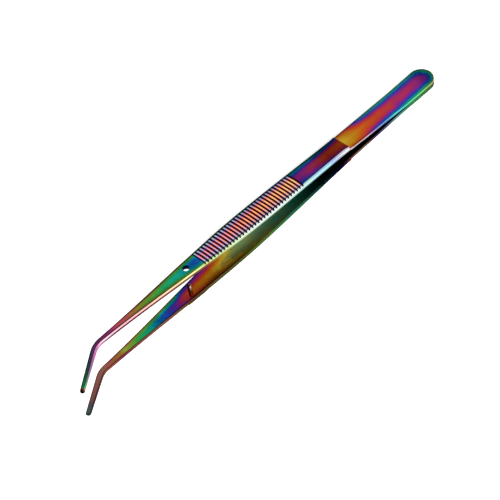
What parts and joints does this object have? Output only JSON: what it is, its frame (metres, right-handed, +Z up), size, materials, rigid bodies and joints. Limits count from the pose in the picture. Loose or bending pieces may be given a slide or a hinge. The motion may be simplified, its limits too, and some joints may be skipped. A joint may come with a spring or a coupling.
{
  "type": "aquascaping tweezers",
  "caption": "Long spring tweezers with sideways-bent tips: welded butt, thin spring leaves, ribbed grips, a guide pin and hole, in rainbow-coated steel.",
  "frame": {"origin": "centre of the bounding box at its lowest level, which is the surface the tweezers lie on", "axes": "+X from the butt to the tips, Y across the opening with the front leg on -Y, +Z up, the way the tips bend"},
  "size_m": [0.16, 0.013, 0.0133],
  "materials": {
    "front_leg": "rainbow interference coating, magenta to gold and teal, satin polish",
    "rear_leg": "rainbow interference coating, green to gold and violet, mirror polish inside",
    "guide_pin": "rainbow interference coating, gold and red",
    "butt_weld": "rainbow interference coating, teal, ground flush"
  },
  "bodies": {
    "butt": {"front_leg_root": "front_leg", "rear_leg_root": "rear_leg", "butt_weld": "butt_weld"},
    "front_leg": {"front_leg": "front_leg"},
    "rear_leg": {"rear_leg": "rear_leg", "guide_pin": "guide_pin"}
  },
  "joints": [
    {"name": "front_flex", "type": "hinge", "parent": "butt", "child": "front_leg", "pos_m": [-0.049, -0.00147, 0.0041], "axis": [0, 0, 1], "range_deg": [0, 2.07], "stiffness_Nm_per_rad": 1.5},
    {"name": "rear_flex", "type": "hinge", "parent": "butt", "child": "rear_leg", "pos_m": [-0.049, 0.00147, 0.0041], "axis": [0, 0, -1], "range_deg": [0, 2.07], "stiffness_Nm_per_rad": 1.5}
  ]
}
